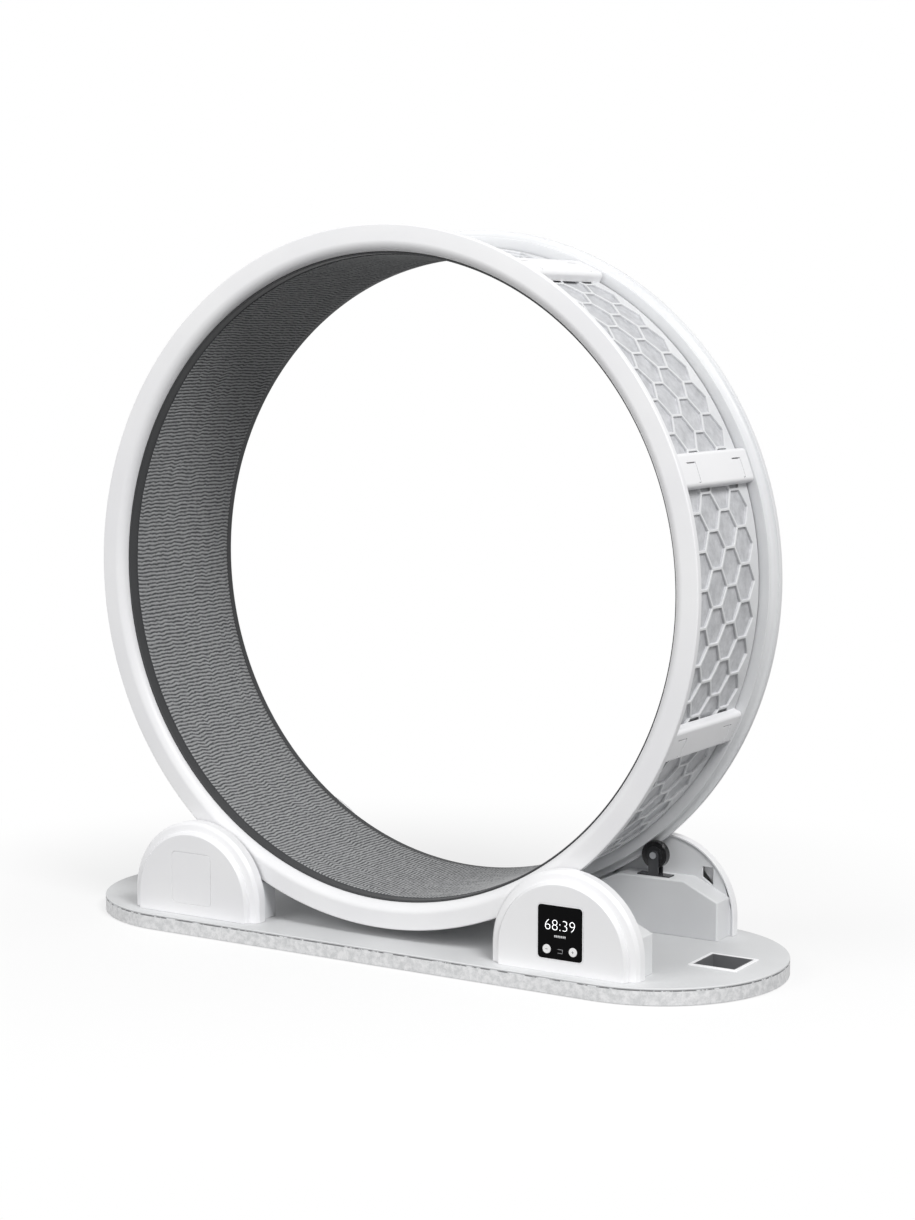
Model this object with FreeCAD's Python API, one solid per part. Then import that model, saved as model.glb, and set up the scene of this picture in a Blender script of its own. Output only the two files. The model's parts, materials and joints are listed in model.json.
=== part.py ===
"""Cat exercise wheel: a carpeted running drum on four rollers, on an oval base.

Millimetres, +Z up. X runs along the base, Y across it, from the front to the rear.
The origin is on the floor, under the middle of the base. The drum turns about Y.
"""
import FreeCAD, Part
import math
import os

V = FreeCAD.Vector
O = V(0, 0, 0)

# ---- drum -------------------------------------------------------------------------------
rim_radius = 500.0
rim_depth = 38.0              # from the rim to the bore of the rim rings
wheel_width = 270.0
ring_width = 25.0             # of each rim ring, from its flank to its outer face
lip_width = 10.0              # the guide lip outside the roller track
lip_height = 9.0              # how far the lip stands above the track
inner_round = 15.0            # of the front ring
rear_edge = 1.3               # bevel of the rear ring's bore
outer_chamfer = 1.5
wheel_clearance = 15.2        # between the rim and the deck
cover_angle = 20.2            # where the first connector cover stands, above +X
panel_count = 8
panel_depth = 9.0             # from the bore to the skin between the ribs
panel_skin = 3.0
panel_wall = 3.0
panel_gap = 0.4
comb_height = 4.0             # honeycomb ribs above the skin
comb_rib = 4.0
cell_length = 52.0            # pitch round the drum
cell_spacing = 45.0           # pitch across the drum
cell_flat = 28.0              # length of the short rib
cell_columns = 4
comb_end = 16.0               # plain strip between the cells and the end of a panel
tongue_length = 60.0
tongue_depth = 7.0
tongue_thickness = 5.0
mat_thickness = 4.5
mat_margin = 6.0              # from the mat's front edge to the flank of the front ring
front_trim_width = 16.7
rear_trim_width = 13.5
trim_thickness = 3.0

# ---- connector covers -------------------------------------------------------------------
cover_height = 14.0           # above the honeycomb ribs
cover_length = 49.0
cover_wall = 2.5
cover_round = 6.0
slit = 1.6
slit_hook = 6.4
tab_length = 27.0
tab_across = 27.0
tab_offset = 70.0             # middle of a spring tab from the middle plane
tab_start = 9.5               # where its cross slit lies, from the cover's middle line
leg_thickness = 2.4
leg_width = 14.0
leg_offset = 5.2
leg_reach = 2.0               # how far a latch leg stands below the skin
barb = 1.0

# ---- roller supports --------------------------------------------------------------------
contact_angle = 37.96         # from straight below the axle to a roller
arch_radius = 115.0
arch_straight = 25.0
wall_gap = 6.0                # between the rim's face and the inner wall
wall_thickness = 3.0
support_depth = 27.0          # from the inner wall to the front face
shell_wall = 3.0
shell_edge = 2.0              # the shell's rim stands past the wall
roll_one = 9.0                # width of the roll next to the face
roll_two = 14.0               # width of the outer roll
roll_depth = 7.5              # each roll's fall towards the wall
ledge_reach = 9.0             # how far the ledge stands in past the rim's flank
ledge_drop = 30.565           # from a roller's axle to the top of its ledge
ledge_fall = 25.5             # from the ledge's top to its low ends
ledge_flat = 53.0             # half of the flat part
ledge_half = 107.0
ledge_wall = 3.0
ledge_round = 2.7
window_in = 0.5565 * arch_radius
window_out = 0.7 * arch_radius
window_top = arch_straight + 0.626 * arch_radius
window_low_in = arch_straight + 0.4957 * arch_radius
window_low_out = arch_straight + 0.4 * arch_radius
support_screw_x = 85.0

# ---- rollers ----------------------------------------------------------------------------
roller_radius = 20.0
roller_width = 11.6
hub_radius = 12.5
axle_radius = 3.0
axle_fit = 0.06
head_radius = 5.0
head_height = 2.4
bracket_width = 16.0
bracket_sheet = 2.0
foot_flange = 52.0
cheek_gap = 0.5
track_gap = 0.3
snap_x = 19.0                 # middle of a bracket's snap leg from the axle
snap_thickness = 2.5
snap_barb = 0.8

# ---- base -------------------------------------------------------------------------------
deck_margin = 21.5            # deck in front of the supports' front faces
end_margin = 132.5            # deck beyond a support's arch
foot_height = 1.0             # how far the rubber feet stand below the tray
foot_radius = 15.0
foot_inset = 34.0
tray_height = 20.8
tray_wall = 3.0
tray_rib = 2.0
deck_thickness = 3.0
deck_round = 1.5
boss_radius = 6.0
boss_height = 14.0

# ---- bay in the front supports, display -------------------------------------------------
bay_width = 0.626 * arch_radius
bay_height = 0.675 * arch_radius
bay_middle = arch_straight + 0.27 * arch_radius
bay_round = 7.0
bay_depth = 3.0
frame_border = 1.4
frame_proud = 0.4
frame_step = 1.6              # width of the step that the glass lies on
flange_width = 3.0
flange_thickness = 1.6
glass_gap = 0.15
glass_thickness = 2.0
button_radius = 6.2
button_x = 20.3
button_low = 24.0             # below the middle of the bay
button_proud = 0.8
button_travel = 0.8
button_fit = 0.15
collar_width = 1.2
collar_thickness = 1.0
board_thickness = 1.6
switch_width = 6.0
battery_radius = 5.2
battery_length = 44.0
holder_wall = 1.5
magnet_radius = 4.0
magnet_height = 3.0
magnet_depth = 20.0           # of the magnet's outer face in the rim ring
sensor_length = 18.0
sensor_height = 7.0
sensor_depth = 4.5

# ---- socket in the deck -----------------------------------------------------------------
socket_inset = 82.5           # its middle from the end of the base
socket_size = 63.0            # clear opening
socket_lip = 2.0              # height above the deck
socket_border = 5.5
liner_wall = 1.5

# ---- fasteners --------------------------------------------------------------------------
screw_radius = 2.0
screw_grip = 11.0             # length of a screw in its boss
screw_head_radius = 4.0
screw_head = 2.5
screw_recess = 1.0            # of the head below the tray's underside
screw_fit = 0.1
small_gap = 0.3

# ---- radii that follow ------------------------------------------------------------------
bore_radius = rim_radius - rim_depth
track_radius = rim_radius - lip_height
skin_radius = bore_radius + panel_depth
comb_radius = skin_radius + comb_height
cover_radius = comb_radius + cover_height
axle_distance = track_radius + roller_radius + track_gap

# ---- places across the drum, along Y ----------------------------------------------------
face_y = wheel_width / 2
flank_y = face_y - ring_width
lip_y = face_y - lip_width
roller_y = (flank_y + lip_y) / 2
panel_half_width = flank_y - small_gap
mat_front = mat_margin - flank_y
mat_rear = face_y - rear_edge - rear_trim_width - small_gap
wall_y = face_y + wall_gap
shell_y = wall_y + support_depth
ledge_y = flank_y - ledge_reach
support_screw_y = wall_y - boss_radius + 1.0

# ---- places along the base, along X -----------------------------------------------------
contact = math.radians(contact_angle)
support_x = axle_distance * math.sin(contact)
base_half_width = shell_y + deck_margin
base_half_length = support_x + arch_radius + end_margin
end_x = base_half_length - base_half_width
socket_x = base_half_length - socket_inset

# ---- levels -----------------------------------------------------------------------------
tray_bottom = foot_height
floor_z = tray_bottom + tray_wall
deck_bottom = tray_bottom + tray_height
deck_top = deck_bottom + deck_thickness
wheel_z = deck_top + wheel_clearance + rim_radius
axle_z = wheel_z - axle_distance * math.cos(contact)
ledge_z = axle_z - ledge_drop
bay_z = deck_top + bay_middle

# ---- rest -------------------------------------------------------------------------------
sector_angle = 360.0 / panel_count
far = 1000.0                  # longer than anything that it cuts


def degrees(length, radius):
    """Angle that a length takes at a radius."""
    return math.degrees(length / radius)


def plate(points, lift):
    """Face through 2-D points; an item of two points is an arc through the first."""
    edges, here = [], points[0]
    for item in list(points[1:]) + [points[0]]:
        if isinstance(item[0], tuple):
            edges.append(Part.Arc(lift(*here), lift(*item[0]), lift(*item[1])).toShape())
            here = item[1]
        elif lift(*here).distanceToPoint(lift(*item)) > 1e-6:
            edges.append(Part.LineSegment(lift(*here), lift(*item)).toShape())
            here = item
    return Part.Face(Part.Wire(edges))


def on_radius(r, y):
    return V(r, y, 0)


def on_front(x, z):
    return V(x, 0, z)


def on_floor(x, y):
    return V(x, y, 0)


def corner(cx, cy, r, angle):
    """Point of a rounded corner, for the middle of its arc."""
    a = math.radians(angle)
    return (cx + r * math.cos(a), cy + r * math.sin(a))


def turned(shape, angle):
    """Copy turned about the drum's axis, from +X towards +Z."""
    copy = shape.copy()
    copy.rotate(O, V(0, -1, 0), angle)
    return copy


def moved(shape, x=0.0, y=0.0, z=0.0):
    copy = shape.copy()
    copy.translate(V(x, y, z))
    return copy


def mirrored(shape, axis):
    return shape.mirror(O, axis)


def block(x0, x1, y0, y1, z0, z1):
    return Part.makeBox(x1 - x0, y1 - y0, z1 - z0, V(x0, y0, z0))


def rod(r, length, at, direction):
    return Part.makeCylinder(r, length, at, direction)


def ring_of(points):
    """Full turn of a section, radius against Y, about the drum's axis."""
    return plate(points, on_radius).revolve(O, V(0, 1, 0), 360)


def sector(r0, r1, y0, y1, a0, a1):
    """Part of a turn of a rectangular section."""
    face = plate([(r0, y0), (r1, y0), (r1, y1), (r0, y1)], on_radius)
    return turned(face, a0).revolve(O, V(0, -1, 0), a1 - a0)


def rounded(half_x, half_z, r, y0, y1):
    """Rounded rectangle in the XZ plane, extruded along Y."""
    x, z = half_x - r, half_z - r
    points = [(-x, -half_z), (x, -half_z), (corner(x, -z, r, -45), (half_x, -z)), (half_x, z),
              (corner(x, z, r, 45), (x, half_z)), (-x, half_z),
              (corner(-x, z, r, 135), (-half_x, z)), (-half_x, -z),
              (corner(-x, -z, r, 225), (-x, -half_z))]
    return moved(plate(points, on_front), y=y0).extrude(V(0, y1 - y0, 0))


def save(name, shape):
    """Write one node, on the floor frame."""
    if shape.ShapeType == "Compound" and len(shape.Solids) == 1:
        shape = shape.Solids[0]
    if not shape.isValid() or not shape.Solids:
        raise ValueError(name)
    shape.exportStep("parts/" + name + ".step")
    print("%-22s %3d solids %5d faces %9.1f cm3" % (
        name, len(shape.Solids), len(shape.Faces), shape.Volume / 1000))


def on_wheel(shape, angle=0.0):
    return moved(turned(shape, angle), z=wheel_z)


# ---- base -------------------------------------------------------------------------------
def stadium(inset, z0, z1):
    r = base_half_width - inset
    x = base_half_length - base_half_width
    points = [(-x, -r), (x, -r), ((x + r, 0), (x, r)), (-x, r), ((-x - r, 0), (-x, -r))]
    return moved(plate(points, on_floor), z=z0).extrude(V(0, 0, z1 - z0))


corner_signs = [(sx, sy) for sx in (-1, 1) for sy in (-1, 1)]
foot_x, foot_y = base_half_length - 3 * foot_inset, base_half_width - foot_inset
foot_spots = [(sx * x, sy * y) for sx, sy in corner_signs
              for x, y in ((foot_x, foot_y / 2), (end_x / 3, foot_y))]
screw_spots = [(sx * support_x + s * support_screw_x, sy * support_screw_y)
               for sx, sy in corner_signs for s in (-1, 1)]


def upright(r, z0, z1, spots):
    """Upright round bars or holes at several places."""
    return [rod(r, z1 - z0, V(x, y, z0), V(0, 0, 1)) for x, y in spots]


def socket_box(inset, z0, z1):
    h = socket_size / 2 - inset
    return block(socket_x - h, socket_x + h, -h, h, z0, z1)


seat_z = tray_bottom + screw_recess + screw_head


def base_tray():
    """Shallow tray with ribs, and a column round each screw."""
    tray = stadium(0, tray_bottom, deck_bottom).cut(stadium(tray_wall, floor_z, deck_bottom + 1))
    half, reach = tray_rib / 2, base_half_width - tray_wall
    ribs = [block(-end_x, end_x, y - half, y + half, floor_z, deck_bottom)
            for y in (-reach / 3, reach / 3)]
    ribs += [block(x - half, x + half, -reach, reach, floor_z, deck_bottom)
             for x in (-end_x, -end_x / 3, end_x / 3, end_x)]
    columns = upright(boss_radius, floor_z, deck_bottom, screw_spots)
    tray = tray.multiFuse(ribs + columns).removeSplitter()
    cuts = upright(screw_radius + screw_fit, 0, deck_top, screw_spots)
    cuts += upright(screw_head_radius + small_gap, 0, seat_z, screw_spots)
    return tray.cut(Part.makeCompound(cuts))


def base_deck():
    """Lid of the tray, with the socket's raised border."""
    deck = stadium(0, deck_bottom, deck_top)
    rim = [e for e in deck.Edges if all(abs(v.Z - deck_top) < 1e-6 for v in e.Vertexes)]
    deck = deck.makeFillet(deck_round, rim)
    collar = socket_box(-socket_border, deck_top - 1, deck_top + socket_lip)
    deck = deck.fuse(collar).removeSplitter()
    cuts = upright(screw_radius + screw_fit, 0, deck_top + 1, screw_spots)
    cuts.append(socket_box(0, 0, deck_top + socket_lip + 1))
    return deck.cut(Part.makeCompound(cuts))


def base_screws():
    """Long screws that clamp tray, deck and supports together."""
    shanks = upright(screw_radius, seat_z, deck_top + screw_grip, screw_spots)
    heads = upright(screw_head_radius, seat_z - screw_head, seat_z, screw_spots)
    return Part.makeCompound([a.fuse(b) for a, b in zip(shanks, heads)])


def socket_liner():
    """Open box that lines the socket and stands on the tray's floor."""
    top = deck_top + socket_lip - small_gap
    outer = socket_box(small_gap, floor_z, top)
    return outer.cut(socket_box(small_gap + liner_wall, floor_z + liner_wall, top + 1))


# ---- drum -------------------------------------------------------------------------------
def tongue(tip_gap, half):
    """Tongue on a panel's side; a full turn of it, with a tip gap, is the ring's groove."""
    low = (bore_radius + skin_radius - tongue_thickness) / 2
    return sector(low, low + tongue_thickness, panel_half_width - panel_wall,
                  flank_y + tongue_depth + tip_gap, -half, half)


def magnet_bar(radius, start):
    """Round bar from a radius of the ring out to the bottom of the magnet's hole."""
    y = (flank_y + face_y - inner_round) / 2
    return rod(radius, bore_radius + magnet_depth - start, V(start, y, 0), V(1, 0, 0))


def rim_ring(bore_edge):
    """Ring on the rear side: inner edge, face, guide lip, roller track, flank and groove."""
    chamfer_r, chamfer_y = rim_radius - outer_chamfer, face_y - outer_chamfer
    body = ring_of([(bore_radius, flank_y)] + bore_edge + [
        (chamfer_r, face_y), (rim_radius, chamfer_y), (rim_radius, lip_y),
        (track_radius, lip_y), (track_radius, flank_y)])
    return body.cut(tongue(small_gap, panel_count * sector_angle / 2))


def rear_ring():
    """The rear ring's bore is straight, so that the rubber band can cover it."""
    return rim_ring([(bore_radius, face_y - rear_edge), (bore_radius + rear_edge, face_y)])


def front_ring():
    """The front ring has a large inner round, and the magnet's hole from the bore."""
    round_r, round_y = bore_radius + inner_round, face_y - inner_round
    ring = rim_ring([(bore_radius, round_y),
                     (corner(round_r, round_y, inner_round, 135), (round_r, face_y))])
    return mirrored(ring.cut(magnet_bar(magnet_radius + screw_fit, bore_radius - 1)), V(0, 1, 0))


def cell():
    """Six-sided pocket of the honeycomb, long way round the drum, at angle zero."""
    half_w = cell_spacing - cell_flat / 2
    slope = math.hypot(half_w - cell_flat / 2, cell_length / 2)
    inset = comb_rib / 2
    half_z = cell_length / 2 - inset
    # the slanted sides move in by the same half rib
    out = half_w - inset * slope / (cell_length / 2)
    flat = out - half_z * (half_w - cell_flat / 2) / (cell_length / 2)
    points = [(out, 0), (flat, half_z), (-flat, half_z), (-out, 0), (-flat, -half_z),
              (flat, -half_z)]
    face = plate(points, lambda y, z: V(skin_radius, y, z))
    return face.extrude(V(2 * comb_height, 0, 0))


def panel(slots):
    """Drum panel: open-backed tray with a honeycomb outside and a tongue at both sides."""
    half = sector_angle / 2 - degrees(panel_gap / 2, comb_radius)
    w = panel_half_width
    body = sector(bore_radius, comb_radius, -w, w, -half, half)
    inner = skin_radius - panel_skin
    back = half - degrees(panel_wall, inner)
    body = body.cut(sector(bore_radius - 1, inner, panel_wall - w, w - panel_wall, -back, back))
    pitch = degrees(cell_length, comb_radius)
    pad = half - degrees(comb_end, comb_radius)
    keep = sector(skin_radius - 1, comb_radius + 1, -w, w, -pad, pad)
    cells = []
    for c in range(cell_columns):
        y = (c - (cell_columns - 1) / 2) * cell_spacing
        shift = 0.0 if c % 2 == 0 else 0.5
        count = int(pad / pitch + 1.0)
        for k in range(-count, count + 1):
            a = (k + shift) * pitch
            if abs(a) < pad + 0.3 * pitch:
                pocket = moved(turned(cell(), a), y=y)
                whole = abs(a) < pad - 0.5 * pitch
                cells.append(pocket if whole else pocket.common(keep))
    body = body.cut(Part.makeCompound(cells + slots))
    arm = tongue(0, degrees(tongue_length / 2, bore_radius))
    return body.multiFuse([arm, mirrored(arm, V(0, 1, 0))]).removeSplitter()


def leg_box(side, y, grow, x0, x1):
    """Latch leg beside the joint between two panels, or with grow its slot."""
    z, t, w = side * leg_offset, leg_thickness / 2 + grow, leg_width / 2 + grow
    return block(x0, x1, y - w, y + w, z - t, z + t)


def leg_slots():
    """Slots for the latch legs at both ends of a panel that is centred at angle zero."""
    return [turned(leg_box(-side, y, small_gap, bore_radius, comb_radius + 1),
                   side * sector_angle / 2)
            for side in (-1, 1) for y in (-tab_offset, tab_offset)]


def cover_slits():
    """Cuts round the free sides of the two spring tabs, each with a short hook at its end."""
    x0, x1 = cover_radius - 2 * cover_wall, cover_radius + 1
    low = tab_start - tab_length
    cuts = []
    for y in (-tab_offset, tab_offset):
        y0, y1 = y - tab_across / 2, y + tab_across / 2
        cuts.append(block(x0, x1, y0, y1, tab_start - slit / 2, tab_start + slit / 2))
        cuts.append(block(x0, x1, y1 - slit, y1, low, tab_start))
        cuts.append(block(x0, x1, y1 - slit_hook, y1, low - slit, low))
    return cuts


def cover():
    """Connector cover over a joint: rounded shell with two spring tabs and latch legs."""
    foot = comb_radius
    w = panel_half_width - small_gap
    side, wall, r = cover_length / 2, cover_wall, cover_round
    # section across the joint: straight sides, rounded shoulders, top along the drum
    shoulder_z, top_r = side - r, cover_radius - r
    shoulder_x = math.sqrt(top_r ** 2 - shoulder_z ** 2)
    touch = math.atan2(shoulder_z, shoulder_x)
    top = (cover_radius * math.cos(touch), cover_radius * math.sin(touch))
    bend = corner(shoulder_x, shoulder_z, r, (math.degrees(touch) + 90) / 2)
    low = math.sqrt(foot ** 2 - side ** 2)
    body = plate([(low, -side), (shoulder_x, -side), ((bend[0], -bend[1]), (top[0], -top[1])),
                  ((cover_radius, 0), top), (bend, (shoulder_x, side)), (low, side)], on_front)
    body = moved(body, y=-w).extrude(V(0, 2 * w, 0))
    ends = [e for e in body.Edges if abs(abs(e.CenterOfMass.y) - w) < 1e-6
            and e.CenterOfMass.x > cover_radius - r]
    body = body.makeChamfer(0.35 * r, ends)
    under = rod(foot, 2 * w + 2, V(0, -w - 1, 0), V(0, 1, 0))
    ceiling = cover_radius - 1.5 * wall
    hollow = block(low - wall, ceiling, wall - w, w - wall, wall - side, side - wall)
    body = body.cut(Part.makeCompound([under, hollow])).cut(Part.makeCompound(cover_slits()))
    tip = skin_radius - panel_skin - small_gap
    legs = []
    for s in (-1, 1):
        for y in (-tab_offset, tab_offset):
            legs.append(leg_box(s, y, 0, tip - leg_reach, cover_radius - wall))
            legs.append(moved(leg_box(s, y, 0, tip - leg_reach, tip), z=s * barb))
    return body.multiFuse(legs).removeSplitter()


def lining(y0, y1, thickness):
    """Band that lies in the bore: the mat, or a rubber trim beside it."""
    inner = bore_radius - thickness
    return ring_of([(inner, y0), (bore_radius, y0), (bore_radius, y1), (inner, y1)])


# ---- roller supports --------------------------------------------------------------------
def arch(radius, y0, y1, rise=0.0):
    """Half disc on straight legs, standing on the deck at the support's middle."""
    z, foot = deck_top + arch_straight, deck_top + rise
    points = [(-radius, foot), (radius, foot), (radius, z), ((0, z + radius), (-radius, z))]
    return moved(plate(points, on_front), y=y0).extrude(V(0, y1 - y0, 0))


def stepped_arch(inset, y_in):
    """Arch whose edge falls in two rolls from the front face to the sides."""
    r0 = arch_radius - inset
    y_face = shell_y - inset
    y_one = y_face - roll_depth
    y_two = y_one - roll_depth
    r_one, r_face = r0 - roll_two, r0 - roll_two - roll_one
    edge = [(0, y_in), (r0, y_in), (r0, y_two), (r0 - 0.3 * roll_two, y_one - 0.3 * roll_depth),
            (r_one, y_one), (r_one, y_one + 0.4 * roll_depth),
            (r_one - 0.4 * roll_one, y_face), (r_face, y_face), (0, y_face)]
    z = deck_top + arch_straight
    half = plate(edge, on_radius).revolve(O, V(0, -1, 0), 180)
    full = edge[1:-1] + [(-r, y) for r, y in reversed(edge[1:-1])]
    legs = plate(full, on_radius).extrude(V(0, 0, -arch_straight))
    return moved(half.fuse(legs).removeSplitter(), z=z)


def support_shell(with_bay):
    """Outer shell of a rear left support, placed at the middle of its X."""
    start = wall_y - shell_edge
    shell = stepped_arch(0, start)
    step_y = shell_y - 2 * roll_depth
    for r, y in ((arch_radius, step_y), (arch_radius - roll_two - roll_one, shell_y)):
        shell = shell.cut(arch(r - shell_wall, start - 1, y - shell_wall, -1))
    if with_bay:
        bay = rounded(bay_width / 2, bay_height / 2, bay_round, shell_y - 2 * shell_wall,
                      shell_y + 1)
        shell = shell.cut(moved(bay, z=bay_z))
    return shell


def support_body():
    """Inner wall, roller ledge and screw bosses of a rear support."""
    wall = arch(arch_radius - shell_wall, wall_y, wall_y + wall_thickness)
    t, low_z = ledge_wall, ledge_z - ledge_fall
    ledge = [(-ledge_half, deck_top), (-ledge_half, low_z), (-ledge_flat, ledge_z),
             (ledge_flat, ledge_z), (ledge_half, low_z), (ledge_half, deck_top)]
    space = [(t - ledge_half, deck_top - 1), (t - ledge_half, low_z - t),
             (-ledge_flat, ledge_z - t), (ledge_flat, ledge_z - t),
             (ledge_half - t, low_z - t), (ledge_half - t, deck_top - 1)]
    box = moved(plate(ledge, on_front), y=ledge_y).extrude(V(0, wall_y - ledge_y, 0))
    front = [e for e in box.Edges if all(abs(v.Y - ledge_y) < 1e-6 for v in e.Vertexes)
             and e.CenterOfMass.z > deck_top + 1]
    box = box.makeFillet(ledge_round, front)
    box = box.cut(moved(plate(space, on_front), y=ledge_y + t).extrude(V(0, far, 0)))
    spots = [(s * support_screw_x, support_screw_y) for s in (-1, 1)]
    body = wall.multiFuse([box] + upright(boss_radius, deck_top, deck_top + boss_height, spots))
    cuts = upright(screw_radius, deck_top - 1, deck_top + screw_grip + 1, spots)
    foot = deck_top
    for s in (-1, 1):
        window = [(s * window_in, foot + window_low_in), (s * window_out, foot + window_low_out),
                  (s * window_out, foot + window_top), (s * window_in, foot + window_top)]
        cuts.append(moved(plate(window, on_front), y=wall_y - 1).extrude(
            V(0, wall_thickness + 2, 0)))
        cuts.append(moved(snap_leg(s, small_gap, ledge_wall + 1), y=roller_y, z=ledge_z))
    return body.removeSplitter().cut(Part.makeCompound(cuts))


def snap_leg(side, grow, reach):
    """Leg under a bracket's foot, or with grow its slot in the ledge."""
    x, t, w = side * snap_x, snap_thickness / 2 + grow, bracket_width / 4 + grow
    return block(x - t, x + t, -w, w, -reach, bracket_sheet / 2)


def roller_bracket():
    """U bracket: foot with two snap legs, and two cheeks that carry the axle."""
    cheek_in = roller_width / 2 + cheek_gap
    cheek_out = cheek_in + bracket_sheet
    half = bracket_width / 2
    foot = block(-foot_flange / 2, foot_flange / 2, -cheek_out, cheek_out, 0, bracket_sheet)
    outline = [(-half, 0), (half, 0), (half, ledge_drop), ((0, ledge_drop + half),
                                                           (-half, ledge_drop))]
    pieces = [moved(plate(outline, on_front), y=y).extrude(V(0, bracket_sheet, 0))
              for y in (cheek_in, -cheek_out)]
    for s in (-1, 1):
        pieces.append(snap_leg(s, 0, ledge_wall + 2 * snap_barb))
        hook = moved(snap_leg(s, 0, ledge_wall + 2 * snap_barb), x=s * snap_barb)
        pieces.append(hook.common(block(-far, far, -far, far, -far, -ledge_wall)))
    body = foot.multiFuse(pieces).removeSplitter()
    bore = rod(axle_radius + axle_fit, 4 * cheek_out, V(0, -2 * cheek_out, ledge_drop), V(0, 1, 0))
    return moved(body.cut(bore), y=roller_y, z=ledge_z)


def axle():
    """Axle with a head at each end, riveted over the cheeks."""
    reach = roller_width / 2 + cheek_gap + bracket_sheet
    pin = rod(axle_radius, 2 * reach, V(0, -reach, 0), V(0, 1, 0))
    heads = [rod(head_radius, head_height, V(0, s, 0), V(0, 1, 0))
             for s in (reach, -reach - head_height)]
    return moved(pin.multiFuse(heads).removeSplitter(), y=roller_y, z=axle_z)


def tube(r0, r1):
    """Round ring as wide as a roller, at the roller's place."""
    w = roller_width / 2
    return moved(ring_of([(r0, -w), (r1, -w), (r1, w), (r0, w)]), y=roller_y, z=axle_z)


def roller_tyre():
    return tube(hub_radius, roller_radius)


def roller_hub():
    return tube(axle_radius + axle_fit, hub_radius)


# ---- display and blank plate, modelled on a rear support, mirrored to the front ---------
def bay_plate(inset, y0, y1):
    """Rounded rectangle that is smaller than the bay by the inset all round."""
    return rounded(bay_width / 2 - inset, bay_height / 2 - inset, bay_round - inset, y0, y1)


def bay_flange(inset):
    """Edge behind the shell's face that keeps a bay's insert from falling out."""
    x, z = bay_width / 2 + flange_width, bay_height / 2 + flange_width
    plain = block(-x, x, flange_back, flange_back + flange_thickness, -z, z)
    return plain.cut(through_hole(inset)) if inset else plain


glass_front = shell_y + frame_proud
glass_back = glass_front - glass_thickness
glass_edge = glass_gap + frame_border + glass_gap
flange_back = shell_y - bay_depth - flange_thickness


def through_hole(inset):
    x, z = bay_width / 2 - inset, bay_height / 2 - inset
    return block(-x, x, flange_back - 1, glass_front, -z, z)


def bay_frame():
    """Frame that clips into the bay and holds the glass."""
    inset = glass_edge + frame_step
    outer = bay_plate(glass_gap, shell_y - bay_depth, glass_front)
    opening = bay_plate(glass_gap + frame_border, glass_back, glass_front + 1)
    body = outer.cut(opening).cut(through_hole(inset)).fuse(bay_flange(inset))
    return moved(body.removeSplitter(), z=bay_z)


def button_spots():
    return [(s * button_x, bay_z - button_low) for s in (-1, 1)]


def display_glass():
    glass = bay_plate(glass_edge, glass_back, glass_front)
    holes = [rod(button_radius + button_fit, 2 * glass_thickness,
                 V(x, glass_back - 1, z - bay_z), V(0, 1, 0)) for x, z in button_spots()]
    return moved(glass.cut(Part.makeCompound(holes)), z=bay_z)


def display_button(side):
    """Push button: round cap through the glass and a square collar behind it."""
    x, z = [(x, z) for x, z in button_spots() if x * side > 0][0]
    back, h = glass_back - small_gap, button_radius + collar_width
    cap = rod(button_radius, glass_front + button_proud - back, V(x, back, z), V(0, 1, 0))
    collar = block(x - h, x + h, back - collar_thickness, back, z - h, z + h)
    return cap.fuse(collar).removeSplitter()


def display_board():
    """Circuit board on the frame's back, with the screen and two switches under the buttons."""
    x, z = bay_width / 2, bay_height / 2
    board = block(-x, x, flange_back - board_thickness, flange_back, bay_z - z, bay_z + z)
    inset = glass_edge + frame_step + 2 * small_gap
    low = bay_z - button_low + button_radius + collar_width + 2 * small_gap
    screen = block(inset - x, x - inset, flange_back, glass_back - small_gap, low,
                   bay_z + z - inset)
    top = glass_back - 2 * small_gap - collar_thickness - button_travel
    h = switch_width / 2
    switches = [block(x - h, x + h, flange_back, top, z - h, z + h) for x, z in button_spots()]
    return board.multiFuse([screen] + switches).removeSplitter()


def battery_pack():
    """Two cells side by side in an open holder, behind the board."""
    back = flange_back - board_thickness
    r, w = battery_radius, holder_wall
    half_x, half_z = battery_length / 2 + small_gap, 2 * r + small_gap
    low = back - w - 2 * r
    holder = block(-half_x - w, half_x + w, low, back, bay_z - half_z - w, bay_z + half_z + w)
    space = block(-half_x, half_x, low - 1, back - w, bay_z - half_z, bay_z + half_z)
    cells = [rod(r, battery_length, V(-battery_length / 2, back - w - r, bay_z + s * r),
                 V(1, 0, 0)) for s in (-1, 1)]
    return Part.makeCompound([holder.cut(space)] + cells)


def pass_sensor():
    """Reed sensor on the inner wall, at the arch's edge that lies nearest to the drum's axle."""
    up = wheel_z - deck_top - arch_straight
    y, half, h = wall_y + wall_thickness, sensor_length / 2, sensor_height / 2
    reach = arch_radius - shell_wall - small_gap - math.hypot(half, h)
    x = -reach * support_x / math.hypot(support_x, up)
    z = deck_top + arch_straight + reach * up / math.hypot(support_x, up)
    return block(x - half, x + half, y, y + sensor_depth, z - h, z + h)


def blank_plate():
    """Plain cover of the same bay on the other front support."""
    face = bay_plate(glass_gap, shell_y - bay_depth, shell_y)
    return moved(face.fuse(bay_flange(0)).removeSplitter(), z=bay_z)


def at_front(shape, sx):
    return moved(mirrored(shape, V(0, 1, 0)), x=sx * support_x)


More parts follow.
